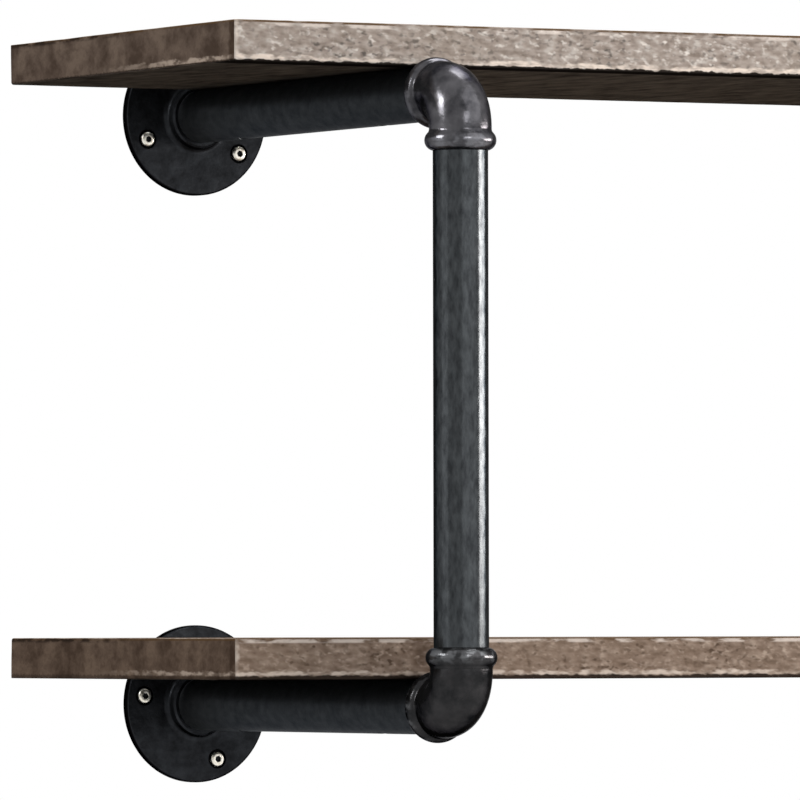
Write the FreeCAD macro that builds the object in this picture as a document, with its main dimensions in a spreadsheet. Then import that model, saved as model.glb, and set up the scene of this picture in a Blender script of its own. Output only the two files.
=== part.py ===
"""Two-tier wall shelf: two wooden boards on a pair of black pipe brackets.

Row frame: +X to the right along the boards, +Y into the wall, +Z up. The origin lies on
the wall plane, midway between the brackets, at the height of the lower arms' axis.
Each bracket is a C of threaded pipe: flange, arm, elbow, upright, elbow, arm, flange.
A board rests on each pair of arms, behind the elbows, and is screwed down from below.
All lengths are millimetres and all angles degrees.
"""
import FreeCAD, Part
import math
import os

import Sketcher
from FreeCAD import Placement, Rotation, Vector

SIZES = {
    # boards
    "board_length": 914.0,
    "board_depth": 305.0,
    "board_thickness": 25.0,
    "board_edge": 1.2,
    "board_clearance": 0.5,
    # bracket layout
    "shelf_pitch": 370.0,
    "bracket_inset": 134.0,
    # one-inch pipe and its reduced, threaded ends
    "pipe_diameter": 33.4,
    "pipe_wall": 3.4,
    "thread_depth": 1.2,
    "seat_length": 12.0,
    "seat_gap": 0.15,
    "seat_relief": 1.0,
    "seat_chamfer": 0.8,
    # elbow: swell over the pipe, inner radius of the bend, straight up to each bead
    "elbow_swell": 2.2,
    "elbow_throat": 3.1,
    "elbow_neck": 1.5,
    # bead at each mouth of an elbow; its height is over the elbow's body
    "bead_height": 2.8,
    "bead_width": 12.5,
    "bead_root": 3.0,
    # wall flange
    "flange_diameter": 99.0,
    "flange_thickness": 5.0,
    "flange_bevel": 1.2,
    "hub_wall": 4.2,
    "hub_draft": 1.2,
    "hub_height": 12.0,
    "hub_fillet": 3.5,
    "hub_bevel": 1.2,
    # flange screws; an angle is that of the first screw of a left-hand flange
    "screw_inset": 12.0,
    "screw_count": 3,
    "upper_screw_angle": 203.0,
    "lower_screw_angle": 172.0,
    "screw_clearance": 1.2,
    "spot_clearance": 1.6,
    "spot_depth": 1.4,
    "screw_diameter": 4.8,
    "screw_length": 25.0,
    "screw_point": 6.0,
    "screw_head": 9.2,
    "screw_head_height": 3.2,
    "head_bevel": 1.4,
    # board screws, driven up through each arm
    "fixing_diameter": 4.0,
    "fixing_length": 22.0,
    "fixing_point": 5.0,
    "fixing_head": 8.0,
    "fixing_head_height": 2.6,
    "fixing_inset": 60.0,
    "fixing_gap": 0.1,
    "access_gap": 1.0,
}

SIDES = {"left": -1, "right": 1}
LEVELS = {"lower": 0, "upper": 1}
UP = Vector(0, 0, 1)
BACK = Vector(0, 1, 0)
RIGHT = Vector(1, 0, 0)
TOLERANCE = 1e-3

# Formulas of the sheet's cells that several sub-parts share.
HALF_SPAN = "(dims.board_length / 2 - dims.bracket_inset)"
BOARD_BACK = "(dims.hub_height + dims.board_clearance)"
ARM_END = f"({BOARD_BACK} + dims.board_depth + dims.board_clearance)"
PIPE_RADIUS = "(dims.pipe_diameter / 2)"
BORE_RADIUS = "(dims.pipe_diameter / 2 - dims.pipe_wall)"
SEAT_RADIUS = "(dims.pipe_diameter / 2 - dims.thread_depth)"
SOCKET_RADIUS = f"({SEAT_RADIUS} + dims.seat_gap)"
ELBOW_RADIUS = f"({PIPE_RADIUS} + dims.elbow_swell)"
BEND_RADIUS = f"({ELBOW_RADIUS} + dims.elbow_throat)"
ELBOW_REACH = f"({BEND_RADIUS} + dims.elbow_neck + dims.bead_width)"
BEAD_MIDDLE = f"({ELBOW_REACH} - dims.bead_width / 2)"
UPRIGHT_AWAY = f"({ARM_END} + {ELBOW_REACH})"
SCREW_SEAT = "(dims.flange_thickness - dims.spot_depth)"
FIXING_HOLE = "(dims.fixing_diameter / 2 + dims.fixing_gap)"
FIXING_SEAT = f"(sqrt({BORE_RADIUS}^2 - (dims.fixing_head / 2)^2) - dims.fixing_gap)"
FIXING_NEAR = f"({BOARD_BACK} + dims.fixing_inset)"
FIXING_SPACING = "(dims.board_depth - 2 * dims.fixing_inset)"

doc = FreeCAD.newDocument("pipe_shelf")
nodes = []


def make_sheet():
    """Put every driving size in a spreadsheet cell with its own alias."""
    sheet = doc.addObject("Spreadsheet::Sheet", "dims")
    for row, (alias, size) in enumerate(SIZES.items(), start=1):
        sheet.set(f"A{row}", alias)
        sheet.set(f"B{row}", str(size))
        sheet.setAlias(f"B{row}", alias)
    doc.recompute()
    return sheet


sizes = make_sheet()


def value(formula):
    """Number that a formula of the sheet's cells gives now."""
    found = sizes.evalExpression(formula)
    return float(getattr(found, "Value", found))


def bind(item, bindings):
    """Tie properties of an object to formulas of the sheet's cells."""
    for path, formula in bindings.items():
        item.setExpression(path, formula)


# ---- bodies and sketches --------------------------------------------------------------

def new_body(label):
    """Body of one sub-part; its label is the node's name."""
    body = doc.addObject("PartDesign::Body", label)
    body.Label = label
    nodes.append(body)
    return body


def place(body, x_formula, y_formula, z_formula, turn_axis=UP, turn=0):
    """Stand a finished body in the row frame."""
    body.Placement = Placement(Vector(), Rotation(turn_axis, turn))
    bind(body, {"Placement.Base.x": x_formula,
                "Placement.Base.y": y_formula,
                "Placement.Base.z": z_formula})


def bracket_x(side):
    return f"{SIDES[side]} * {HALF_SPAN}"


def arm_height(level):
    return f"{LEVELS[level]} * dims.shelf_pitch"


def origin_item(body, role):
    """Plane or axis of the body's own origin, such as XY_Plane or Z_Axis."""
    for item in body.Origin.OriginFeatures:
        if item.Role == role:
            return item
    raise ValueError(f"{body.Label} has no {role}")


def new_sketch(body, name, role, offset=None):
    """Sketch on one of the body's origin planes, moved by bound offsets if given."""
    sketch = body.newObject("Sketcher::SketchObject", name)
    sketch.AttachmentSupport = [(origin_item(body, role), "")]
    sketch.MapMode = "FlatFace"
    for axis, formula in (offset or {}).items():
        sketch.setExpression(f"AttachmentOffset.Base.{axis}", formula)
    doc.recompute()
    return sketch


def pin_point(sketch, geometry, end, x_formula, y_formula, name):
    """Hold one point of a sketch at bound distances from the sketch's origin."""
    for kind, other_axis, formula in (("DistanceX", -2, x_formula),
                                      ("DistanceY", -1, y_formula)):
        if formula == "0":
            sketch.addConstraint(
                Sketcher.Constraint("PointOnObject", geometry, end, other_axis))
            continue
        number = sketch.addConstraint(
            Sketcher.Constraint(kind, -1, 1, geometry, end, value(formula)))
        sketch.renameConstraint(number, f"{name}_{kind[-1].lower()}")
        sketch.setExpression(f"Constraints[{number}]", formula)


def draw_outline(sketch, corners):
    """Closed outline through corners, each a pair of formulas."""
    points = [Vector(value(x), value(y), 0) for x, y in corners]
    count = len(points)
    for here in range(count):
        sketch.addGeometry(Part.LineSegment(points[here], points[(here + 1) % count]))
    for here in range(count):
        sketch.addConstraint(
            Sketcher.Constraint("Coincident", here, 2, (here + 1) % count, 1))
    for here, (x_formula, y_formula) in enumerate(corners):
        pin_point(sketch, here, 1, x_formula, y_formula, f"corner{here}")


def draw_circle(sketch, radius, x_formula="0", y_formula="0"):
    """Circle of a bound radius at a bound place."""
    centre = Vector(value(x_formula), value(y_formula), 0)
    number = sketch.addGeometry(Part.Circle(centre, UP, value(radius)))
    held = sketch.addConstraint(Sketcher.Constraint("Radius", number, value(radius)))
    sketch.setExpression(f"Constraints[{held}]", radius)
    pin_point(sketch, number, 3, x_formula, y_formula, f"centre{number}")


# ---- features -------------------------------------------------------------------------

def add_feature(body, kind, name, settings, bindings=None):
    """Add a PartDesign feature to a body and compute it."""
    feature = body.newObject(f"PartDesign::{kind}", name)
    for key, setting in settings.items():
        setattr(feature, key, setting)
    bind(feature, bindings or {})
    body.Tip = feature
    doc.recompute()
    return feature


def cut_feature(body, kind, name, settings, bindings=None):
    """Add a cutting feature and make sure that it took material away."""
    before = body.Shape.Volume
    feature = add_feature(body, kind, name, settings, bindings)
    if body.Shape.Volume >= before:
        raise ValueError(f"{body.Label}: {name} cuts nothing")
    return feature


def revolve(body, name, section, axis="V_Axis"):
    """Turn a section all the way round one of its sketch's own axes."""
    return add_feature(body, "Revolution", name,
                       {"Profile": section, "ReferenceAxis": (section, [axis]),
                        "Angle": 360})


def turn_outline(body, name, corners, offset=None):
    """Turn an outline about the Z axis of the body, or of the offset if given."""
    section = new_sketch(body, f"{name}_section", "XZ_Plane", offset)
    draw_outline(section, corners)
    return revolve(body, name, section)


def round_edges(body, name, radius, wanted):
    """Fillet the edges that the test picks, by a bound radius."""
    picked = [f"Edge{number}" for number, edge in enumerate(body.Shape.Edges, start=1)
              if wanted(edge)]
    if not picked:
        raise ValueError(f"{body.Label}: no edge for {name}")
    return add_feature(body, "Fillet", name, {"Base": (body.Tip, picked)},
                       {"Radius": radius})


def ring_at(radius, distance):
    """Edge test: a level circle of this radius at this distance along Z."""
    wanted_radius = value(radius)
    wanted_distance = value(distance)

    def is_wanted(edge):
        return (isinstance(edge.Curve, Part.Circle)
                and abs(edge.Curve.Radius - wanted_radius) < TOLERANCE
                and abs(edge.Curve.Center.z - wanted_distance) < TOLERANCE)
    return is_wanted


def repeat_along(body, name, role, spacing, features=()):
    """Two of each feature, or of the whole body, a bound spacing apart along an axis."""
    return add_feature(body, "LinearPattern", name,
                       {**what_repeats(features),
                        "Direction": (origin_item(body, role), [""]),
                        "Occurrences": 2},
                       {"Length": spacing})


def repeat_around(body, name, features=()):
    """Repeat features, or the whole body, evenly about Z: one for each flange screw."""
    return add_feature(body, "PolarPattern", name,
                       {**what_repeats(features),
                        "Axis": (origin_item(body, "Z_Axis"), [""]),
                        "Angle": 360},
                       {"Occurrences": "dims.screw_count"})


def what_repeats(features):
    if features:
        return {"Originals": list(features)}
    return {"TransformMode": "Whole shape"}


# ---- boards ---------------------------------------------------------------------------

def make_board(level):
    """Solid wood board with eased edges and blind pilot holes in its underside."""
    body = new_body(f"shelf_board_{level}")
    outline = new_sketch(body, f"board_outline_{level}", "XY_Plane")
    half = "dims.board_length / 2"
    draw_outline(outline, [(f"-{half}", "-dims.board_depth"), (half, "-dims.board_depth"),
                           (half, "0"), (f"-{half}", "0")])
    add_feature(body, "Pad", f"board_slab_{level}", {"Profile": outline},
                {"Length": "dims.board_thickness"})
    round_edges(body, f"board_edges_{level}", "dims.board_edge", lambda edge: True)

    pilots = new_sketch(body, f"board_pilots_{level}", "XY_Plane")
    for side in SIDES:
        for from_back in ("dims.fixing_inset", "(dims.board_depth - dims.fixing_inset)"):
            draw_circle(pilots, FIXING_HOLE, bracket_x(side), f"-{from_back}")
    cut_feature(body, "Pocket", f"board_pilot_holes_{level}",
                {"Profile": pilots, "Reversed": True},
                {"Length": f"{FIXING_SEAT} + dims.fixing_length + dims.fixing_gap"
                           f" - {PIPE_RADIUS}"})
    place(body, "0", f"-{BOARD_BACK}", f"{arm_height(level)} + {PIPE_RADIUS}")


# ---- pipes ----------------------------------------------------------------------------

def pipe_outline(first_seat, length, last_seat):
    """Half section of a pipe along its axis, stepped down at both threaded ends."""
    seat_edge = f"{SEAT_RADIUS} - dims.seat_chamfer"
    shoulder = f"({first_seat} + {length})"
    last = f"({shoulder} + {last_seat})"
    return [(BORE_RADIUS, "0"),
            (seat_edge, "0"),
            (SEAT_RADIUS, "dims.seat_chamfer"),
            (SEAT_RADIUS, first_seat),
            (PIPE_RADIUS, first_seat),
            (PIPE_RADIUS, shoulder),
            (SEAT_RADIUS, shoulder),
            (SEAT_RADIUS, f"{last} - dims.seat_chamfer"),
            (seat_edge, last),
            (BORE_RADIUS, last)]


def make_arm(side, level):
    """Horizontal pipe from the wall flange to the elbow, drilled for two board screws."""
    name = f"{side}_{level}"
    body = new_body(f"arm_pipe_{name}")
    turn_outline(body, f"arm_tube_{name}",
                 pipe_outline("(dims.hub_height - dims.seat_relief)",
                              f"({ARM_END} - dims.hub_height)", "dims.seat_length"))
    drilled = []
    for use, radius, downwards in (("clearance", FIXING_HOLE, False),
                                   ("access", "dims.fixing_head / 2 + dims.access_gap",
                                    True)):
        circle = new_sketch(body, f"arm_{use}_circle_{name}", "XZ_Plane")
        draw_circle(circle, radius, "0", f"{FIXING_NEAR} - dims.seat_relief")
        drilled.append(cut_feature(body, "Pocket", f"arm_{use}_hole_{name}",
                                   {"Profile": circle, "Reversed": downwards},
                                   {"Length": "dims.pipe_diameter"}))
    repeat_along(body, f"arm_holes_{name}", "Z_Axis", FIXING_SPACING, drilled)
    place(body, bracket_x(side), "-dims.seat_relief", arm_height(level), RIGHT, 90)


def make_upright(side):
    """Vertical pipe between the two elbows."""
    body = new_body(f"upright_pipe_{side}")
    turn_outline(body, f"upright_tube_{side}",
                 pipe_outline("dims.seat_length",
                              f"(dims.shelf_pitch - 2 * {ELBOW_REACH})",
                              "dims.seat_length"))
    place(body, bracket_x(side), f"-{UPRIGHT_AWAY}", f"{ELBOW_REACH} - dims.seat_length")


# ---- elbows ---------------------------------------------------------------------------

def make_elbow(side, level):
    """Beaded elbow: one leg back to the arm, the other along the upright."""
    name = f"{side}_{level}"
    body = new_body(f"elbow_{name}")
    path = draw_bend(body, f"elbow_path_{name}")
    sweep_round(body, f"elbow_tube_{name}", "AdditivePipe", path, ELBOW_RADIUS)
    add_beads(body, name)
    sweep_round(body, f"elbow_waterway_{name}", "SubtractivePipe", path, BORE_RADIUS)
    cut_sockets(body, name)
    turn = 180 * LEVELS[level]
    place(body, bracket_x(side), f"-{UPRIGHT_AWAY}", arm_height(level), BACK, turn)


def draw_bend(body, name):
    """Centre line of an elbow between its beads: a straight, a quarter turn, a straight."""
    sketch = new_sketch(body, name, "YZ_Plane")
    end = value(BEAD_MIDDLE)
    bend = value(BEND_RADIUS)
    turn = Part.Circle(Vector(bend, bend, 0), UP, bend)
    sketch.addGeometry(Part.LineSegment(Vector(0, end, 0), Vector(0, bend, 0)))
    sketch.addGeometry(Part.ArcOfCircle(turn, math.pi, 1.5 * math.pi))
    sketch.addGeometry(Part.LineSegment(Vector(bend, 0, 0), Vector(end, 0, 0)))
    sketch.addConstraint(Sketcher.Constraint("Tangent", 0, 2, 1, 1))
    sketch.addConstraint(Sketcher.Constraint("Tangent", 1, 2, 2, 1))
    pin_point(sketch, 0, 1, "0", BEAD_MIDDLE, "upright_end")
    pin_point(sketch, 2, 2, BEAD_MIDDLE, "0", "arm_end")
    pin_point(sketch, 1, 3, BEND_RADIUS, BEND_RADIUS, "bend_centre")
    doc.recompute()
    return sketch


def sweep_round(body, name, kind, path, radius):
    """Add or cut a round section along an elbow's centre line."""
    section = new_sketch(body, f"{name}_section", "XY_Plane", {"z": BEAD_MIDDLE})
    draw_circle(section, radius)
    edges = [f"Edge{number}" for number in (1, 2, 3)]
    add_feature(body, kind, name, {"Profile": section, "Spine": (path, edges)})


def add_beads(body, name):
    """A half-round bead that ends each leg."""
    radius = "dims.bead_width / 2"
    out = f"({ELBOW_RADIUS} + dims.bead_height - {radius})"
    for use, centre, axis in (("upright", (out, BEAD_MIDDLE), "V_Axis"),
                              ("arm", (BEAD_MIDDLE, out), "H_Axis")):
        section = new_sketch(body, f"elbow_{use}_bead_{name}_section", "YZ_Plane")
        draw_circle(section, radius, *centre)
        revolve(body, f"elbow_{use}_bead_{name}", section, axis)
    round_edges(body, f"elbow_bead_roots_{name}", "dims.bead_root", is_bead_root)


def is_bead_root(edge):
    """A ring on the elbow's body, between the bend and the middle of a bead."""
    if not isinstance(edge.Curve, Part.Circle):
        return False
    along = max(edge.Curve.Center.y, edge.Curve.Center.z)
    on_body = abs(edge.Curve.Radius - value(ELBOW_RADIUS)) < TOLERANCE
    return on_body and value(BEND_RADIUS) + TOLERANCE < along < value(BEAD_MIDDLE)


def cut_sockets(body, name):
    """Bore for a pipe's threaded end in each leg."""
    for use, plane, away, inwards in (("upright", "XY_Plane", ELBOW_REACH, False),
                                      ("arm", "XZ_Plane", f"-{ELBOW_REACH}", True)):
        mouth = new_sketch(body, f"elbow_{use}_mouth_{name}", plane, {"z": away})
        draw_circle(mouth, SOCKET_RADIUS)
        cut_feature(body, "Pocket", f"elbow_{use}_socket_{name}",
                    {"Profile": mouth, "Reversed": inwards},
                    {"Length": "dims.seat_length + dims.seat_relief"})


# ---- wall flanges ---------------------------------------------------------------------

def on_screw_circle(side, level):
    """X and Y of a flange's first screw; right-hand flanges mirror left-hand ones."""
    angle = f"(dims.{level}_screw_angle * 1deg)"
    radius = "(dims.flange_diameter / 2 - dims.screw_inset)"
    return (f"{-SIDES[side]} * {radius} * cos{angle}", f"{radius} * sin{angle}")


def stand_on_wall(body, side, level):
    """Turn a body's +Z off the wall and put its back on the wall at an arm's axis."""
    place(body, bracket_x(side), "0", arm_height(level), RIGHT, 90)


def make_flange(side, level):
    """Round wall flange: plate, low hub, pipe socket and spot-faced screw holes."""
    name = f"{side}_{level}"
    body = new_body(f"wall_flange_{name}")
    rim = "dims.flange_diameter / 2"
    hub = f"{PIPE_RADIUS} + dims.hub_wall"
    hub_side = f"{hub} - dims.hub_draft"
    hub_top = f"{hub_side} - dims.hub_bevel"
    hub_shoulder = "dims.hub_height - dims.hub_bevel"
    turn_outline(body, f"flange_plate_{name}",
                 [(SOCKET_RADIUS, "0"),
                  (rim, "0"),
                  (rim, "dims.flange_thickness - dims.flange_bevel"),
                  (f"{rim} - dims.flange_bevel", "dims.flange_thickness"),
                  (hub, "dims.flange_thickness"),
                  (hub_side, hub_shoulder),
                  (hub_top, "dims.hub_height"),
                  (SOCKET_RADIUS, "dims.hub_height")])
    round_edges(body, f"flange_hub_fillet_{name}", "dims.hub_fillet",
                ring_at(hub, "dims.flange_thickness"))
    drilled = []
    for use, radius, depth in (
            ("spot", "dims.screw_head / 2 + dims.spot_clearance", "dims.spot_depth"),
            ("hole", "dims.screw_diameter / 2 + dims.screw_clearance",
             "dims.flange_thickness")):
        circle = new_sketch(body, f"flange_{use}_circle_{name}", "XY_Plane",
                            {"z": "dims.flange_thickness"})
        draw_circle(circle, radius, *on_screw_circle(side, level))
        drilled.append(cut_feature(body, "Pocket", f"flange_{use}_{name}",
                                   {"Profile": circle}, {"Length": depth}))
    repeat_around(body, f"flange_holes_{name}", drilled)
    stand_on_wall(body, side, level)


# ---- screws ---------------------------------------------------------------------------

def make_screw(body, name, kind, seat, across, along):
    """One pan-head screw pointing down a body's Z axis; seat is under its head."""
    shank = f"dims.{kind}_diameter / 2"
    head = f"dims.{kind}_head / 2"
    tip = f"({seat} - dims.{kind}_length)"
    top = f"({seat} + dims.{kind}_head_height)"
    turn_outline(body, name,
                 [("0", tip),
                  (shank, f"{tip} + dims.{kind}_point"),
                  (shank, seat),
                  (head, seat),
                  (head, f"{top} - dims.head_bevel"),
                  (f"{head} - dims.head_bevel", top),
                  ("0", top)],
                 {"x": across, "z": f"-({along})"})


def make_flange_screws(side, level):
    """The screws of one wall flange, each a solid of its own."""
    name = f"{side}_{level}"
    body = new_body(f"flange_screws_{name}")
    make_screw(body, f"flange_screw_{name}", "screw", SCREW_SEAT,
               *on_screw_circle(side, level))
    repeat_around(body, f"flange_screw_ring_{name}")
    stand_on_wall(body, side, level)


def make_board_screws(side, level):
    """Two screws up through one arm into its board, heads seated inside the pipe."""
    name = f"{side}_{level}"
    body = new_body(f"board_screws_{name}")
    make_screw(body, f"board_screw_{name}", "fixing", f"(-{FIXING_SEAT})",
               "0", f"-({FIXING_NEAR} + {FIXING_SPACING})")
    repeat_along(body, f"board_screw_pair_{name}", "Y_Axis", FIXING_SPACING)
    place(body, bracket_x(side), "0", arm_height(level), BACK, 180)


# ---- assembly, checks and files -------------------------------------------------------

def build():
    for level in LEVELS:
        make_board(level)
    for side in SIDES:
        for level in LEVELS:
            make_flange(side, level)
            make_arm(side, level)
            make_elbow(side, level)
            make_flange_screws(side, level)
            make_board_screws(side, level)
        make_upright(side)
    doc.recompute()


def check():
    """Stop if anything failed to build."""
    for item in doc.Objects:
        if "Invalid" in item.State or "Error" in item.State:
            raise ValueError(f"{item.Label} failed: {item.State}")
    for node in nodes:
        if node.Shape.isNull() or not node.Shape.isValid():
            raise ValueError(f"{node.Label} has no valid shape")


def write_parts():
    os.makedirs("parts", exist_ok=True)
    for node in nodes:
        node.Shape.exportStep(f"parts/{node.Label}.step")


build()
check()
write_parts()
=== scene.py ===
"""Pipe shelving unit: its looks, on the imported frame. Metres, in the row's frame.

+X runs to the right along the boards, +Y into the wall and +Z up. The boards and the flange
screws are modelled here. Everything else is the CAD's own shape with a material.
"""
import math
import random
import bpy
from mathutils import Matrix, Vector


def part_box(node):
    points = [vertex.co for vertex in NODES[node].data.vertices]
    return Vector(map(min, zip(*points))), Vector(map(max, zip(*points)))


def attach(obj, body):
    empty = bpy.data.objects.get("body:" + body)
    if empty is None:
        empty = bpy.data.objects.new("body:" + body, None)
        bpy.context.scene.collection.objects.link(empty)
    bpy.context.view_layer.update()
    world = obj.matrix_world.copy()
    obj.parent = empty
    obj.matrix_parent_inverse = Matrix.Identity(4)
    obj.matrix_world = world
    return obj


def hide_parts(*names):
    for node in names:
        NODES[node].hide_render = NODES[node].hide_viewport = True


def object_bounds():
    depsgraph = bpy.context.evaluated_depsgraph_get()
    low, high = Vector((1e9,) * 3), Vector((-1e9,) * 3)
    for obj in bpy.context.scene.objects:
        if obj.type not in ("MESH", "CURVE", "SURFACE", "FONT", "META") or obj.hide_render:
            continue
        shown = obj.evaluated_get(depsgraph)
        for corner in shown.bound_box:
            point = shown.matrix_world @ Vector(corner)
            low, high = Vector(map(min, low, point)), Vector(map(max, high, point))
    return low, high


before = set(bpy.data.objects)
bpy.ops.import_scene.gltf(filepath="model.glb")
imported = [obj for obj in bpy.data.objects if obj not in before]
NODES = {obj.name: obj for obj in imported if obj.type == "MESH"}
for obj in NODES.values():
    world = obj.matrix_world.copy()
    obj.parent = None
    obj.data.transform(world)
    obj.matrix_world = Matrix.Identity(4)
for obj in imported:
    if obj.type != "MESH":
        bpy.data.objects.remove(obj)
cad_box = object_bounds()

from types import SimpleNamespace

import bmesh
import bpy
from mathutils import Vector, noise

MM = 0.001
SIDES = ("left", "right")
LEVELS = ("lower", "upper")


def new_piece(name, bm, materials, node):
    """Finish a bmesh as a smooth piece that stands for a CAD node."""
    bmesh.ops.recalc_face_normals(bm, faces=bm.faces)
    mesh = bpy.data.meshes.new(name)
    bm.to_mesh(mesh)
    bm.free()
    mesh.shade_smooth()
    for material in materials:
        mesh.materials.append(material)
    piece = bpy.data.objects.new(name, mesh)
    bpy.context.scene.collection.objects.link(piece)
    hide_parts(node)
    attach(piece, "root")


# ---- shader helpers --------------------------------------------------------------------

# Places of a Mix node's colour sockets, which share their names with its other sockets.
MIX_FIRST, MIX_SECOND, MIX_RESULT = 6, 7, 2


def srgb(red, green, blue):
    """Scene colour of an sRGB colour of 0 to 255."""
    def linear(level):
        level /= 255
        return level / 12.92 if level <= 0.04045 else ((level + 0.055) / 1.055) ** 2.4
    return (linear(red), linear(green), linear(blue), 1.0)


class Shader:
    """A node material that is written as nested calls."""

    def __init__(self, name, shift=(0.0, 0.0, 0.0)):
        """Shift is where the material's noise is read, in metres off the object's origin."""
        self.shift = shift
        self.material = bpy.data.materials.new(name)
        self.material.use_nodes = True
        self.tree = self.material.node_tree
        self.tree.nodes.clear()
        self.surface = self.add("BsdfPrincipled")
        self.output = self.add("OutputMaterial", {"Surface": self.surface})
        self.coordinates = self.add("TexCoord")

    def add(self, kind, inputs=None, **settings):
        """New node with its settings, and with its inputs set or linked."""
        node = self.tree.nodes.new(f"ShaderNode{kind}")
        for key, setting in settings.items():
            setattr(node, key, setting)
        for key, source in (inputs or {}).items():
            self.put(node.inputs[key], source)
        return node

    def put(self, socket, source):
        """Set a socket to a constant, or link it to a node or a socket."""
        if isinstance(source, bpy.types.Node):
            source = source.outputs[0]
        if isinstance(source, bpy.types.NodeSocket):
            self.tree.links.new(source, socket)
        else:
            socket.default_value = source

    def set_surface(self, **inputs):
        """Set or link the surface's inputs, named with _ for each space."""
        for key, source in inputs.items():
            self.put(self.surface.inputs[key.replace("_", " ")], source)

    def at(self, axis):
        """Object coordinate along an axis, in metres."""
        split = self.add("SeparateXYZ", {0: self.coordinates.outputs["Object"]})
        return split.outputs[axis]

    def facing(self, axis):
        """How far the surface faces along an axis, either way, from 0 to 1."""
        split = self.add("SeparateXYZ", {0: self.coordinates.outputs["Normal"]})
        return self.math("ABSOLUTE", split.outputs[axis])

    def noise(self, stretch, detail, roughness, shift=None, warp=0.0, lean=0.0):
        """Noise of 0 to 1.

        Stretch is in features per metre along each axis. Lean tips them about Y, in degrees.
        """
        place = self.add("VectorMath", {0: self.coordinates.outputs["Object"],
                                        1: shift or self.shift}, operation="ADD")
        if lean:
            place = self.add("VectorRotate", {"Vector": place, "Angle": math.radians(lean)},
                             rotation_type="Y_AXIS")
        place = self.add("VectorMath", {0: place, 1: stretch}, operation="MULTIPLY")
        return self.add("TexNoise", {"Vector": place, "Scale": 1.0, "Detail": detail,
                                     "Roughness": roughness, "Distortion": warp}).outputs["Fac"]

    def math(self, operation, first, second=0.0):
        return self.add("Math", {0: first, 1: second}, operation=operation)

    def plus(self, first, second):
        return self.math("ADD", first, second)

    def minus(self, first, second):
        return self.math("SUBTRACT", first, second)

    def times(self, product, *factors):
        for factor in factors:
            product = self.math("MULTIPLY", product, factor)
        return product

    def between(self, source, low, high, to=(0.0, 1.0)):
        """Source read as a smooth step from low to high, even where low is the larger."""
        return self.add("MapRange", {"Value": source, "From Min": low, "From Max": high,
                                     "To Min": to[0], "To Max": to[1]},
                        interpolation_type="SMOOTHSTEP")

    def blend(self, factor, first, second):
        """Plain number that goes from first to second."""
        return self.add("MapRange", {"Value": factor, "To Min": first, "To Max": second})

    def mix(self, factor, first, second, blend="MIX"):
        """Colour that goes from first to second."""
        return self.add("Mix", {"Factor": factor, MIX_FIRST: first, MIX_SECOND: second},
                        data_type="RGBA", blend_type=blend).outputs[MIX_RESULT]

    def ramp(self, source, *stops):
        """Colour ramp; each stop is a position and a colour."""
        node = self.add("ValToRGB", {"Fac": source})
        points = node.color_ramp.elements
        while len(points) < len(stops):
            points.new(0.5)
        for point, (position, colour) in zip(points, stops):
            point.position = position
            point.color = colour
        return node.outputs["Color"]

    def bump(self, height, distance):
        return self.add("Bump", {"Height": height, "Distance": distance})


# ---- wood ------------------------------------------------------------------------------

# How each board looks. Over its underside, its dark edge, which is painted shade along the lower
# arris and over the underside, is full up to dark_to, the pale worn line above that is full from
# worn_from, and it ends near worn_to. Its pale dashes begin at dash_start under its top. Its
# pits deepen as their noise goes through pit_range.
BOARD_LOOKS = {
    "upper": SimpleNamespace(
        noise_shift=(0.0, 0.0, 0.0),
        front_tint_and_shade=srgb(247, 250, 250),
        end_tint=srgb(193, 189, 185),
        fleck_strength=0.7,
        pit_range=(0.52, 0.76),
        pit_shade=srgb(76, 71, 68),
        edge_painted_shade=srgb(24, 20, 18),
        dark_to=0.9 * MM,
        worn_shade=srgb(216, 203, 191),
        worn_from=1.5 * MM,
        worn_to=3.6 * MM,
        dash_start=1.2 * MM),
    "lower": SimpleNamespace(
        noise_shift=(3.7, 1.3, 0.6),
        # Its darker front tint is partly painted shade, for the weaker light on the lower board.
        front_tint_and_shade=srgb(208, 197, 186),
        end_tint=srgb(194, 186, 178),
        fleck_strength=0.55,
        pit_range=(0.53, 0.78),
        pit_shade=srgb(84, 71, 62),
        edge_painted_shade=srgb(38, 31, 27),
        dark_to=1.7 * MM,
        worn_shade=srgb(192, 178, 166),
        worn_from=3.1 * MM,
        worn_to=4.6 * MM,
        dash_start=0.4 * MM),
}
GRAIN_SHADES = ((0.34, srgb(132, 119, 110)), (0.47, srgb(153, 140, 132)),
                (0.55, srgb(164, 152, 144)), (0.68, srgb(184, 174, 167)))
END_SHADES = ((0.4, srgb(98, 84, 75)), (0.5, srgb(122, 107, 97)), (0.6, srgb(142, 126, 114)))
# Underside colours: stains from noise, darker than the sides as painted shade.
UNDERSIDE_STAINS_AND_SHADE = ((0.3, srgb(80, 74, 68)), (0.5, srgb(116, 109, 100)), (0.7, srgb(138, 130, 119)))
FLECK_SHADE = srgb(232, 223, 216)
BLOTCH_SHADE = srgb(146, 133, 122)
END_SPECKLE_SHADE = srgb(84, 70, 61)
WORN_END_SHADE = srgb(168, 152, 138)
PALE_CORNER_SHADE = srgb(226, 214, 202)
DARK_CORNER_SHADE = srgb(58, 45, 36)
TOP_LINE_SHADE = srgb(84, 64, 44)
PALE_DASH_SHADE = srgb(222, 211, 202)
DARK_DASH_SHADE = srgb(42, 34, 29)
GRAIN_RELIEF = 0.6 * MM

# Where each mark is gone and where it is full: from the ends, behind the front, under the
# top or over the underside.
PALE_CORNER = (4 * MM, 1 * MM)
DARK_CORNER = (8 * MM, 5 * MM)
WORN_LINE_BACK = (200 * MM, 60 * MM)
TOP_LINE = (2.0 * MM, 1.0 * MM)
DARK_DASHES = (3.6 * MM, 1.4 * MM)
DARK_DASHES_FRONT = (120 * MM, 190 * MM)
UNDERSIDE = (0.4 * MM, 0.1 * MM)
UNDERSIDE_FRONT = (20 * MM, 30 * MM)
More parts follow.
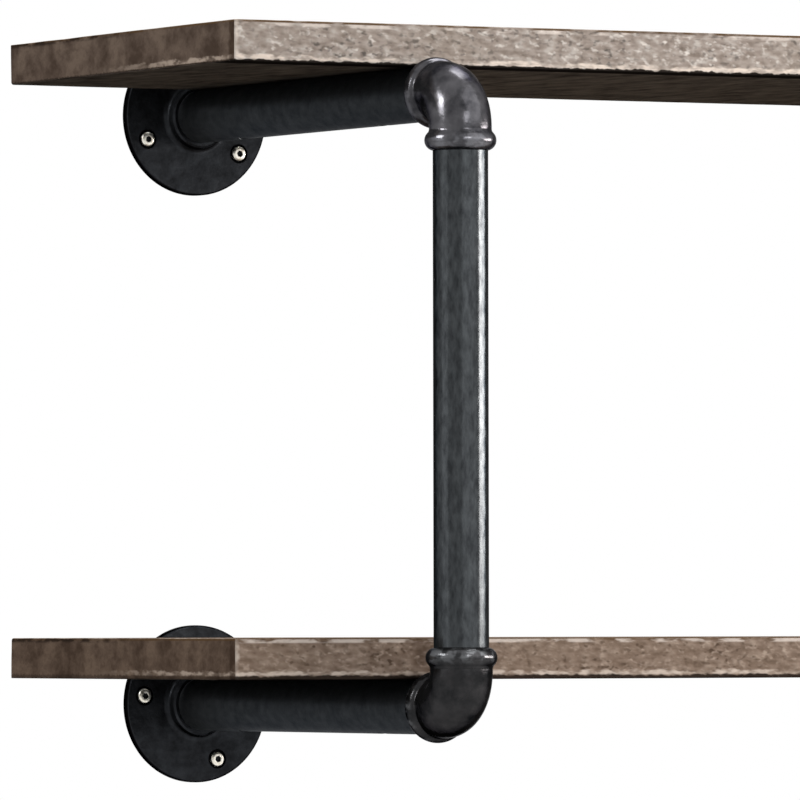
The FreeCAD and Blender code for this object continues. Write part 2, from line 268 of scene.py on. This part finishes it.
# The same for the worn line's upper edge over worn_to, and for the pale dashes' upper and
# lower edges under dash_start.
WORN_LINE_TOP = (1.1 * MM, -0.7 * MM)
PALE_DASHES_TOP = (0.0 * MM, 0.6 * MM)
PALE_DASHES_BOTTOM = (3.0 * MM, 1.8 * MM)
# How far noise moves these marks' edges, either way.
WORN_LINE_RAGGED = 2.6 * MM
CORNER_RAGGED = 2.5 * MM
DARK_EDGE_FRAYED = 1.5 * MM


class BoardShader(Shader):
    """Wood shader that knows where on its board a point lies.

    A face here is the board's top or underside, and an end one of its two short sides.
    """

    def __init__(self, level):
        self.look = BOARD_LOOKS[level]
        super().__init__(f"weathered_wood_with_painted_shade_{level}", self.look.noise_shift)
        low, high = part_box(f"shelf_board_{level}")
        self.over_bottom = self.minus(self.at("Z"), low[2])
        self.under_top = self.minus(high[2], self.at("Z"))
        self.behind_front = self.minus(self.at("Y"), low[1])
        self.from_end = self.minus(high[0], self.math("ABSOLUTE", self.at("X")))
        self.on_face = self.between(self.facing("Z"), 0.5, 0.8)
        self.off_face = self.between(self.facing("Z"), 0.97, 0.8)
        self.at_end = self.between(self.facing("X"), 0.55, 0.8)
        self.off_end = self.minus(1.0, self.at_end)
        self.grit = self.noise((210, 380, 330), detail=1, roughness=0.5)
        self.chips = self.noise((130, 130, 130), detail=2, roughness=0.6)
        self.top_marks = self.noise((45, 45, 150), detail=3, roughness=0.6)


def grain_figure(wood):
    """Grain of 0 to 1: short flecks on the front and back, long streaks on the faces."""
    mottle = wood.noise((125, 220, 270), detail=1, roughness=0.5, lean=-4)
    streaks = wood.noise((9, 210, 210), detail=5, roughness=0.6, warp=0.8)
    fine = wood.times(wood.grit, 0.3)
    return wood.blend(wood.on_face, wood.plus(wood.times(mottle, 0.7), fine),
                      wood.plus(wood.times(streaks, 0.7), fine))


def side_grain(wood, figure):
    """Grey-brown grain with pale flecks, clusters of dark pits and soft blotches."""
    # Flecks and pits are weaker on the faces.
    strength = wood.blend(wood.on_face, 1.0, 0.4)
    flecks = wood.noise((220, 200, 350), detail=1, roughness=0.5, shift=(5.1, 2.2, 0.7), lean=-8)
    flecks = wood.between(flecks, 0.55, 0.82, to=(0.0, wood.look.fleck_strength))
    pits = wood.noise((240, 300, 370), detail=1, roughness=0.5, shift=(8.3, 4.1, 2.9))
    pits = wood.between(pits, *wood.look.pit_range, to=(0.0, 0.85))
    clusters = wood.noise((22, 40, 40), detail=1, roughness=0.5, shift=(2.6, 6.2, 1.1))
    clusters = wood.between(clusters, 0.4, 0.6, to=(0.45, 1.0))
    blotches = wood.noise((12, 30, 20), detail=2, roughness=0.5)
    blotches = wood.between(blotches, 0.35, 0.65, to=(0.0, 0.35))
    colour = wood.ramp(figure, *GRAIN_SHADES)
    colour = wood.mix(wood.times(flecks, strength), colour, FLECK_SHADE)
    colour = wood.mix(wood.times(pits, strength, clusters), colour, wood.look.pit_shade)
    return wood.mix(blotches, colour, BLOTCH_SHADE)


def end_grain(wood):
    """Dark end grain in soft upright bands, finely speckled."""
    bands = wood.noise((0, 30, 2), detail=2, roughness=0.5, warp=0.2)
    clouds = wood.noise((0, 60, 75), detail=3, roughness=0.6)
    speckle = wood.noise((160, 110, 160), detail=2, roughness=0.5)
    figure = wood.plus(wood.times(bands, 0.45), wood.times(clouds, 0.55))
    return wood.mix(wood.between(speckle, 0.5, 0.75, to=(0.0, 0.4)),
                    wood.ramp(figure, *END_SHADES), END_SPECKLE_SHADE)


def with_worn_line(wood, colour):
    """Pale ragged line worn over the dark lower edge, fading away behind the front."""
    look = wood.look
    dashes = wood.noise((95, 95, 260), detail=2, roughness=0.6)
    ragged = wood.plus(wood.over_bottom,
                       wood.blend(dashes, WORN_LINE_RAGGED, -WORN_LINE_RAGGED))
    gone, full = (look.worn_to + reach for reach in WORN_LINE_TOP)
    worn = wood.times(wood.between(wood.over_bottom, look.dark_to, look.worn_from),
                      wood.between(ragged, gone, full),
                      wood.between(dashes, 0.38, 0.62, to=(0.2, 0.95)),
                      wood.between(wood.behind_front, *WORN_LINE_BACK))
    shade = wood.mix(wood.at_end, look.worn_shade, WORN_END_SHADE)
    return wood.mix(worn, colour, shade)


def with_pale_corners(wood, colour):
    """Pale chipped stripe beside each end."""
    ragged = wood.plus(wood.from_end, wood.blend(wood.chips, -CORNER_RAGGED, CORNER_RAGGED))
    pale = wood.times(wood.between(ragged, *PALE_CORNER),
                      wood.between(wood.chips, 0.35, 0.6, to=(0.5, 0.2)),
                      wood.off_end)
    return wood.mix(pale, colour, PALE_CORNER_SHADE)


def with_dark_corners(wood, colour):
    """Dark broken stripe on each end, where it meets the front."""
    dark = wood.times(wood.between(wood.behind_front, *DARK_CORNER),
                      wood.between(wood.chips, 0.65, 0.45, to=(0.1, 0.7)),
                      wood.at_end)
    return wood.mix(dark, colour, DARK_CORNER_SHADE)


def with_top_line(wood, colour):
    """Thin brown line along the top arris."""
    line = wood.times(wood.between(wood.under_top, *TOP_LINE),
                      wood.between(wood.top_marks, 0.36, 0.54, to=(0.25, 0.95)),
                      wood.off_face)
    return wood.mix(line, colour, TOP_LINE_SHADE)


def with_pale_dashes(wood, colour):
    """Pale dashes under the top arris of the front and back."""
    under_start = wood.minus(wood.under_top, wood.look.dash_start)
    dashes = wood.times(wood.between(under_start, *PALE_DASHES_TOP),
                        wood.between(under_start, *PALE_DASHES_BOTTOM),
                        wood.between(wood.top_marks, 0.46, 0.6, to=(0.0, 0.6)),
                        wood.off_face, wood.off_end)
    return wood.mix(dashes, colour, PALE_DASH_SHADE)


def with_dark_dashes(wood, colour):
    """Dark dashes under the top arris of the ends, on their half towards the wall."""
    dashes = wood.times(wood.between(wood.under_top, *DARK_DASHES),
                        wood.between(wood.top_marks, 0.4, 0.56, to=(0.0, 0.9)),
                        wood.between(wood.behind_front, *DARK_DASHES_FRONT),
                        wood.off_face, wood.at_end)
    return wood.mix(dashes, colour, DARK_DASH_SHADE)


def with_painted_edge_shade(wood, colour):
    """Painted shade along the frayed lower edge and over the underside, weaker on the ends."""
    frayed = wood.plus(wood.over_bottom,
                       wood.blend(wood.grit, -DARK_EDGE_FRAYED, DARK_EDGE_FRAYED))
    dark = wood.times(wood.between(frayed, wood.look.worn_from, wood.look.dark_to),
                      wood.blend(wood.at_end, 0.95, 0.5))
    return wood.mix(dark, colour, wood.look.edge_painted_shade)


def with_stained_shaded_underside(wood, colour):
    """Grey stains on the underside, darker than the sides as painted shade, behind the strip of
    painted shade along its front.
    """
    inner = wood.times(wood.between(wood.over_bottom, *UNDERSIDE),
                       wood.between(wood.behind_front, *UNDERSIDE_FRONT))
    stains = wood.noise((70, 25, 70), detail=4, roughness=0.6)
    return wood.mix(inner, colour, wood.ramp(stains, *UNDERSIDE_STAINS_AND_SHADE))


def wood_material(level):
    """Weathered grey-brown board: flecked sides, worn lower arris, banded dark ends, and painted
    shade along its lower edge and on its underside.
    """
    wood = BoardShader(level)
    figure = grain_figure(wood)
    grain = wood.mix(wood.at_end, side_grain(wood, figure), end_grain(wood))
    # The lower board's darker tint is partly painted shade.
    tint = wood.mix(wood.at_end, wood.look.front_tint_and_shade, wood.look.end_tint)
    colour = wood.mix(1.0, grain, tint, "MULTIPLY")
    for with_mark in (with_worn_line, with_pale_corners, with_dark_corners, with_top_line,
                      with_pale_dashes, with_dark_dashes, with_painted_edge_shade,
                      with_stained_shaded_underside):
        colour = with_mark(wood, colour)
    relief = wood.plus(figure, wood.times(wood.grit, 0.3))
    wood.set_surface(Base_Color=colour, Roughness=0.8, Specular_IOR_Level=0.0,
                     Normal=wood.bump(relief, GRAIN_RELIEF))
    return wood.material


# ---- metal -----------------------------------------------------------------------------

# Dark and light shade of each elbow's body, and the shade of its beads' crests. The lower
# elbows' darker body is painted shade, the crest shade a painted highlight.
ELBOW_SHADES_WITH_PAINTED_LIGHT = {"upper": (srgb(44, 44, 47), srgb(92, 91, 94), srgb(98, 98, 102)),
                "lower": (srgb(30, 31, 32), srgb(57, 56, 57), srgb(92, 93, 95))}
# Where the painted highlight on an elbow's beads is gone and where it is full, from its mouths.
BEAD_HIGHLIGHT = (11.5 * MM, 4.5 * MM)
# Where the painted shade in a flange's spot faces, which also darkens its rim, is gone and where
# it is full, along Y: behind the front face of its 5 mm plate, and in front of its back.
FLANGE_FRONT = (-4.8 * MM, -4.2 * MM)
FLANGE_BACK = (-0.2 * MM, -0.8 * MM)
FLANGE_RECESS_PAINTED_SHADE = srgb(8, 8, 9)


def black_metal(name, dark, light, rim, rough, coarse, fine, lump_height):
    """Black coated metal whose sheen falls away towards its outline.

    Its colour goes from dark to light over coarse noise, its outline takes the rim's colour
    and its roughness lies between the two of rough. Coarse and fine are in features per metre.
    """
    metal = Shader(name)
    lumps = metal.noise(coarse, detail=4, roughness=0.6)
    texture = metal.noise((fine, fine, fine), detail=3, roughness=0.6)
    height = metal.plus(lumps, metal.times(texture, 0.25))
    metal.colour = metal.ramp(lumps, (0.32, dark), (0.68, light))
    metal.set_surface(Base_Color=metal.colour, Metallic=0.75, Specular_IOR_Level=0.0,
                      Specular_Tint=rim, Roughness=metal.between(texture, 0.3, 0.7, to=rough),
                      Normal=metal.bump(height, lump_height))
    return metal


def upright_material():
    """Satin black pipe."""
    return black_metal("satin_black_upright", dark=srgb(45, 47, 49), light=srgb(68, 71, 73),
                       rim=srgb(92, 93, 94), rough=(0.14, 0.22), coarse=(320, 320, 110),
                       fine=700, lump_height=0.05 * MM).material


def arm_material():
    """Duller black pipe."""
    return black_metal("dull_black_arm", dark=srgb(47, 49, 51), light=srgb(62, 64, 66),
                       rim=srgb(165, 166, 168), rough=(0.38, 0.48), coarse=(130, 130, 130),
                       fine=700, lump_height=0.05 * MM).material


def black_screw_and_socket_shade_material():
    """Black oxide of the board screws, also used as painted shade in the sockets of the zinc
    screws.
    """
    return black_metal("black_screw_and_socket_shade", dark=srgb(30, 31, 33), light=srgb(44, 45, 47),
                       rim=srgb(110, 110, 112), rough=(0.4, 0.5), coarse=(300, 300, 300),
                       fine=600, lump_height=0.05 * MM).material


def elbow_material(level):
    """Glossy elbow with patches of painted highlight on its two beads; the lower elbows' darker
    shades are painted shade.
    """
    dark, light, crest_highlight = ELBOW_SHADES_WITH_PAINTED_LIGHT[level]
    elbow = black_metal(f"glossy_black_elbow_with_painted_light_{level}", dark, light, rim=srgb(140, 140, 142),
                        rough=(0.16, 0.24), coarse=(60, 60, 60), fine=500,
                        lump_height=0.3 * MM)
    low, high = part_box(f"elbow_left_{level}")
    from_arm = elbow.minus(high[1], elbow.at("Y"))
    if level == "upper":
        from_upright = elbow.minus(elbow.at("Z"), low[2])
    else:
        from_upright = elbow.minus(high[2], elbow.at("Z"))
    from_mouth = elbow.math("MINIMUM", from_upright, from_arm)
    # Noise that places the patches of painted highlight on the beads.
    worn = elbow.noise((150, 150, 150), detail=2, roughness=0.6)
    pale = elbow.times(elbow.between(from_mouth, *BEAD_HIGHLIGHT),
                       elbow.between(worn, 0.44, 0.6, to=(0.1, 1.0)))
    elbow.set_surface(Base_Color=elbow.mix(pale, elbow.colour, crest_highlight))
    return elbow.material


def flange_material():
    """Black flange with painted shade in its spot faces, which also darkens its rim."""
    flange = black_metal("black_flange", dark=srgb(28, 29, 31), light=srgb(45, 47, 50),
                         rim=srgb(110, 110, 112), rough=(0.34, 0.48), coarse=(110, 110, 110),
                         fine=600, lump_height=0.4 * MM)
    recess_shade = flange.times(flange.between(flange.at("Y"), *FLANGE_FRONT),
                        flange.between(flange.at("Y"), *FLANGE_BACK))
    flange.set_surface(Base_Color=flange.mix(recess_shade, flange.colour, FLANGE_RECESS_PAINTED_SHADE))
    return flange.material


def zinc_material():
    """Bright zinc plating with a slightly warm stain."""
    zinc = Shader("zinc_screw")
    stain = zinc.noise((500, 500, 500), detail=4, roughness=0.6)
    colour = zinc.ramp(stain, (0.35, srgb(196, 190, 176)), (0.65, srgb(226, 224, 216)))
    zinc.set_surface(Base_Color=colour, Metallic=1.0,
                     Roughness=zinc.between(stain, 0.3, 0.7, to=(0.28, 0.42)))
    return zinc.material


# ---- boards, in millimetres unless said ------------------------------------------------

# Depths of a board's grid lines along each of its edges.
EDGE_LINES = (0.0, 0.25, 0.55, 0.9, 1.35, 1.9, 2.6)
# Steps of its grid along its length, depth and thickness.
GRID_STEPS = (3.2, 24.0, 4.8)
ARRIS_RADIUS = 0.6
MOST_WEAR = 1.9
# The two noises that wear an arris: features per metre, and what is added to each.
WEAR_NOISES = ((28.0, 0.15), (110.0, -0.18))


def grid_lines(low, high, step):
    """Places in metres of grid lines from low to high, drawn together at both ends."""
    edge = [mm * MM for mm in EDGE_LINES]
    start, end = low + edge[-1], high - edge[-1]
    count = max(1, round((end - start) / (step * MM)))
    middle = [start + (end - start) * k / count for k in range(1, count)]
    return [low + e for e in edge] + middle + [high - e for e in reversed(edge)]


def arris_radius(point):
    """How far the arris is worn round at a place, in metres."""
    wear = sum(max(0.0, noise.noise(point * scale) + lift) for scale, lift in WEAR_NOISES)
    return (ARRIS_RADIUS + MOST_WEAR * min(1.0, wear)) * MM


def wear_arrises(point, low, high):
    """Point of a sharp box moved on to the box with worn arrises."""
    radius = arris_radius(point)
    inner = Vector([min(max(point[k], low[k] + radius), high[k] - radius)
                    for k in range(3)])
    away = point - inner
    return inner + away.normalized() * radius


def worn_board(level, material):
    """Board with unevenly worn arrises, and without the pilot holes that the arms hide."""
    node = f"shelf_board_{level}"
    low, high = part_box(node)
    lines = [grid_lines(*ends) for ends in zip(low, high, GRID_STEPS)]
    bm = bmesh.new()
    corners = {}

    def corner(*place):
        if place not in corners:
            corners[place] = bm.verts.new(wear_arrises(Vector(place), low, high))
        return corners[place]

    for axis in range(3):
        first, second = [k for k in range(3) if k != axis]
        for side_at in (low[axis], high[axis]):
            for a0, a1 in zip(lines[first], lines[first][1:]):
                for b0, b1 in zip(lines[second], lines[second][1:]):
                    ring = []
                    for a, b in ((a0, b0), (a1, b0), (a1, b1), (a0, b1)):
                        place = [0.0, 0.0, 0.0]
                        place[axis], place[first], place[second] = side_at, a, b
                        ring.append(corner(*place))
                    bm.faces.new(ring)
    new_piece(f"board_{level}", bm, [material], node)


# ---- flange screws, in millimetres unless said -----------------------------------------

# Pan head; its seat is that far off the wall.
SCREW_SEAT = 3.6
HEAD_RADIUS = 4.6
HEAD_HEIGHT = 3.2
HEAD_ROUND = 1.5
HEAD_CROWN = 0.25
HEAD_BEVEL = (0.15, 0.2)
# Hexagon socket; its black, which is painted shade, begins at SOCKET_SHADE_DEPTH under the
# head's top.
SOCKET_HALF = 1.55
SOCKET_SLOPE = 0.3
SOCKET_DEPTH = 1.9
SOCKET_SHADE_DEPTH = 0.5
# Threaded shank.
SHANK_RADIUS = 2.4
ROOT_RADIUS = 1.7
THREAD_START = 2.5
THREAD_RUN_IN = 1.5
THREAD_PITCH = 1.9
RIDGE_SLOPE = 3.0
POINT_LENGTH = 6.0
# Rings of a screw's mesh. The lowest is POINT_GAP over the point, and the last PLAIN_POINT of
# the length isn't counted in the turns that say how many there are.
AROUND = 48
RINGS_PER_TURN = 8
POINT_GAP = 0.05
PLAIN_POINT = 0.2
ROUND_DEGREES = (0, 18, 36, 54, 72, 90)
TOP_RINGS = 20
# How the screws' tips are told from the other vertices of a node.
TIP_DEPTH_ERROR = 0.01
TIP_SPACING = 1.0
# Seed of the turns of the sockets.
SCREW_SEED = 7


def screw_places(node):
    """Axis places of a node's screws, at their tips, which lie deepest in the wall."""
    vertices = [vertex.co for vertex in NODES[node].data.vertices]
    deepest = max(co.y for co in vertices)
    tips = []
    for co in vertices:
        is_tip = co.y > deepest - TIP_DEPTH_ERROR * MM
        if is_tip and all((co - tip).length > TIP_SPACING * MM for tip in tips):
            tips.append(co.copy())
    return tips


def clamp(fraction):
    """Fraction kept between 0 and 1."""
    return min(1.0, max(0.0, fraction))


def head_height(radius):
    """Height of a pan head over its seat at a radius."""
    inner = HEAD_RADIUS - HEAD_ROUND
    crown = HEAD_CROWN * (radius / HEAD_RADIUS) ** 2
    if radius <= inner:
        return HEAD_HEIGHT - crown
    drop = HEAD_ROUND - math.sqrt(max(0.0, HEAD_ROUND ** 2 - (radius - inner) ** 2))
    return HEAD_HEIGHT - crown - drop


def socket_depth(across, along):
    """Depth of the hexagon socket, whose walls slope a little."""
    out = max(abs(across * math.cos(turn) + along * math.sin(turn))
              for turn in (0, math.pi / 3, 2 * math.pi / 3))
    return SOCKET_DEPTH * clamp((SOCKET_HALF + SOCKET_SLOPE - out) / SOCKET_SLOPE)


def thread_radius(depth, angle, length):
    """Radius of the threaded shank at a depth under the seat."""
    turns = depth / THREAD_PITCH - angle / (2 * math.pi)
    ridge = max(0.0, 1.0 - RIDGE_SLOPE * abs((turns % 1.0) - 0.5))
    start = clamp((depth - THREAD_START) / THREAD_RUN_IN)
    taper = clamp((length - depth) / POINT_LENGTH)
    core = SHANK_RADIUS + (ROOT_RADIUS - SHANK_RADIUS) * start
    return taper * (core + (SHANK_RADIUS - core) * ridge)


def shank_rings(length, angles):
    """Radii and heights of the shank's rings, from its point up to the seat."""
    deepest = length - POINT_GAP
    steps = int((length - PLAIN_POINT) / THREAD_PITCH * RINGS_PER_TURN)
    depths = [deepest - deepest * k / steps for k in range(steps + 1)]
    return [([thread_radius(depth, angle, length) for angle in angles], [-depth] * AROUND)
            for depth in depths]


def head_rings(turn, angles):
    """Radii and heights of the head's rings, from the seat over the crown into the socket."""
    flat = HEAD_RADIUS - HEAD_ROUND
    side = [(HEAD_RADIUS - HEAD_BEVEL[0], 0.0), (HEAD_RADIUS, HEAD_BEVEL[1])]
    for degrees in ROUND_DEGREES:
        radius = HEAD_RADIUS - HEAD_ROUND * (1 - math.cos(math.radians(degrees)))
        side.append((radius, head_height(radius)))
    rings = [([radius] * AROUND, [height] * AROUND) for radius, height in side]
    for k in range(1, TOP_RINGS):
        radius = flat * (1 - k / TOP_RINGS)
        heights = [head_height(radius) - socket_depth(radius * math.cos(angle + turn),
                                                      radius * math.sin(angle + turn))
                   for angle in angles]
        rings.append(([radius] * AROUND, heights))
    return rings


def in_socket(centre, tip):
    """Whether a face's centre lies down in the socket of the screw with this tip, where shade is
    painted.
    """
    radius = Vector((centre.x - tip.x, 0, centre.z - tip.z)).length / MM
    height = -centre.y / MM - SCREW_SEAT
    top = head_height(radius) - SOCKET_SHADE_DEPTH
    return radius < HEAD_RADIUS - HEAD_ROUND and 0 < height < top


def add_screw(bm, tip, turn):
    """One pan-head wood screw with a hexagon socket; turn sets how the socket lies."""
    length = tip.y / MM + SCREW_SEAT
    angles = [2 * math.pi * k / AROUND for k in range(AROUND)]
    rings = []
    for radii, heights in shank_rings(length, angles) + head_rings(turn, angles):
        rings.append([bm.verts.new((tip.x + radius * math.cos(angle) * MM,
                                    -(SCREW_SEAT + height) * MM,
                                    tip.z + radius * math.sin(angle) * MM))
                      for angle, radius, height in zip(angles, radii, heights)])
    for outer, inner in zip(rings, rings[1:]):
        for k in range(AROUND):
            n = (k + 1) % AROUND
            bm.faces.new((outer[k], outer[n], inner[n], inner[k]))
    for end, height in ((rings[0], -length), (rings[-1], HEAD_HEIGHT - SOCKET_DEPTH)):
        middle = bm.verts.new((tip.x, -(SCREW_SEAT + height) * MM, tip.z))
        for k in range(AROUND):
            bm.faces.new((end[k], end[(k + 1) % AROUND], middle))
    # Faces down in the socket take the second material, as painted shade.
    for face in bm.faces:
        if in_socket(face.calc_center_median(), tip):
            face.material_index = 1


def flange_screws(side, level, materials):
    """The screws of one flange; the second material paints shade into their sockets."""
    node = f"flange_screws_{side}_{level}"
    bm = bmesh.new()
    for tip in screw_places(node):
        add_screw(bm, tip, random.uniform(0, math.pi / 2))
    new_piece(f"screws_{side}_{level}", bm, materials, node)


# ---- the unit --------------------------------------------------------------------------

def dress(node, material):
    """Give a carried-over CAD node its own material."""
    carried = NODES[node]
    carried.data.materials.clear()
    carried.data.materials.append(material)


def make_unit():
    """Boards and flange screws, and materials for the nodes that stay."""
    upright = upright_material()
    arm = arm_material()
    flange = flange_material()
    zinc = zinc_material()
    black_screw_and_socket_shade = black_screw_and_socket_shade_material()
    for side in SIDES:
        dress(f"upright_pipe_{side}", upright)
    for level in LEVELS:
        worn_board(level, wood_material(level))
        elbow = elbow_material(level)
        for side in SIDES:
            dress(f"arm_pipe_{side}_{level}", arm)
            dress(f"elbow_{side}_{level}", elbow)
            dress(f"wall_flange_{side}_{level}", flange)
            flange_screws(side, level, [zinc, black_screw_and_socket_shade])
            dress(f"board_screws_{side}_{level}", black_screw_and_socket_shade)


# ---- floor, light and camera -----------------------------------------------------------

WHITE = (1, 1, 1, 1)
WORLD_FILL = 0.3
FLOOR_DROP = 0.55
FLOOR_HALF = 6.0
FLOOR_SHADE = srgb(178, 178, 178)
FLOOR_GLOW = 0.6
# Darker shade of the floor that lights the unit from below.
FLOOR_BOUNCE = srgb(74, 74, 74)
LIGHT_TARGET = Vector((-0.323, -0.25, 0.19))
LIGHT_DISTANCE = 2.6
CAMERA_PLACE = Vector((-3.2068, -5.6688, 0.0500))
CAMERA_YAW = math.radians(28.136)
CAMERA_PITCH = math.radians(1.2734)
CAMERA_ROLL = math.radians(0.1006)
LENS_MM = 453.66
SENSOR_MM = 36.0


def make_floor():
    """Pale floor well under the unit."""
    bm = bmesh.new()
    bmesh.ops.create_grid(bm, x_segments=1, y_segments=1, size=FLOOR_HALF)
    mesh = bpy.data.meshes.new("floor")
    bm.to_mesh(mesh)
    bm.free()
    floor = bpy.data.objects.new("floor", mesh)
    floor.location.z = cad_box[0][2] - FLOOR_DROP
    bpy.context.scene.collection.objects.link(floor)
    shader = Shader("pale_floor")
    shader.set_surface(Base_Color=FLOOR_SHADE, Roughness=0.9, Emission_Color=WHITE,
                       Emission_Strength=FLOOR_GLOW)
    shader.material.cycles.emission_sampling = "NONE"
    bounce = shader.add("BsdfDiffuse", {"Color": FLOOR_BOUNCE})
    path = shader.add("LightPath")
    seen = shader.add("MixShader", {0: path.outputs["Is Diffuse Ray"], 1: shader.surface,
                                    2: bounce})
    shader.put(shader.output.inputs["Surface"], seen)
    mesh.materials.append(shader.material)


def make_world():
    """White to the camera and in reflections, a soft grey fill for everything else."""
    world = bpy.data.worlds.new("studio")
    bpy.context.scene.world = world
    world.use_nodes = True
    nodes, links = world.node_tree.nodes, world.node_tree.links
    nodes.clear()
    path = nodes.new("ShaderNodeLightPath")
    sees_white = path.outputs["Is Camera Ray"]
    for ray in ("Is Glossy Ray", "Is Transmission Ray"):
        either = nodes.new("ShaderNodeMath")
        either.operation = "MAXIMUM"
        links.new(sees_white, either.inputs[0])
        links.new(path.outputs[ray], either.inputs[1])
        sees_white = either.outputs[0]
    mix = nodes.new("ShaderNodeMixShader")
    links.new(sees_white, mix.inputs["Fac"])
    for socket, strength in ((1, WORLD_FILL), (2, 1.0)):
        background = nodes.new("ShaderNodeBackground")
        background.inputs["Color"].default_value = WHITE
        background.inputs["Strength"].default_value = strength
        links.new(background.outputs[0], mix.inputs[socket])
    output = nodes.new("ShaderNodeOutputWorld")
    links.new(mix.outputs[0], output.inputs["Surface"])


def make_light(name, azimuth, elevation, width, height, power, colour=(1, 1, 1)):
    """Rectangular soft light; azimuth is to the right of the boards' front normal."""
    data = bpy.data.lights.new(name, "AREA")
    data.shape = "RECTANGLE"
    data.size = width
    data.size_y = height
    data.energy = power
    data.color = colour
    lamp = bpy.data.objects.new(name, data)
    turn, rise = math.radians(azimuth), math.radians(elevation)
    away = Vector((math.sin(turn) * math.cos(rise), -math.cos(turn) * math.cos(rise),
                   math.sin(rise)))
    lamp.location = LIGHT_TARGET + away * LIGHT_DISTANCE
    lamp.rotation_euler = away.to_track_quat("Z", "Y").to_euler()
    bpy.context.scene.collection.objects.link(lamp)


def make_lights():
    """A strip for the upright's gloss, soft light on fronts and tops, a little from the left."""
    make_light("key_strip", azimuth=71, elevation=3, width=1.7, height=0.5, power=80,
               colour=(1.0, 0.93, 0.88))
    make_light("broad_front", azimuth=31, elevation=37, width=2.4, height=2.6, power=42)
    make_light("front_soft", azimuth=-3, elevation=20, width=0.7, height=0.6, power=14)
    make_light("front_low", azimuth=8, elevation=0, width=3.0, height=0.9, power=7)
    make_light("top_soft", azimuth=122, elevation=64, width=1.1, height=1.3, power=54)
    make_light("left_strip", azimuth=-99, elevation=28, width=0.8, height=0.9, power=40)
    make_light("left_low", azimuth=-97, elevation=0, width=1.4, height=0.6, power=2.2)


def make_camera():
    """Camera at the photograph's place and angle."""
    data = bpy.data.cameras.new("camera")
    data.lens = LENS_MM
    data.sensor_width = SENSOR_MM
    camera = bpy.data.objects.new("camera", data)
    camera.location = CAMERA_PLACE
    camera.rotation_euler = (math.pi / 2 + CAMERA_PITCH, CAMERA_ROLL, -CAMERA_YAW)
    bpy.context.scene.collection.objects.link(camera)
    bpy.context.scene.camera = camera


random.seed(SCREW_SEED)
make_unit()
make_floor()
make_world()
make_lights()
make_camera()
bpy.context.scene.view_settings.view_transform = "Standard"
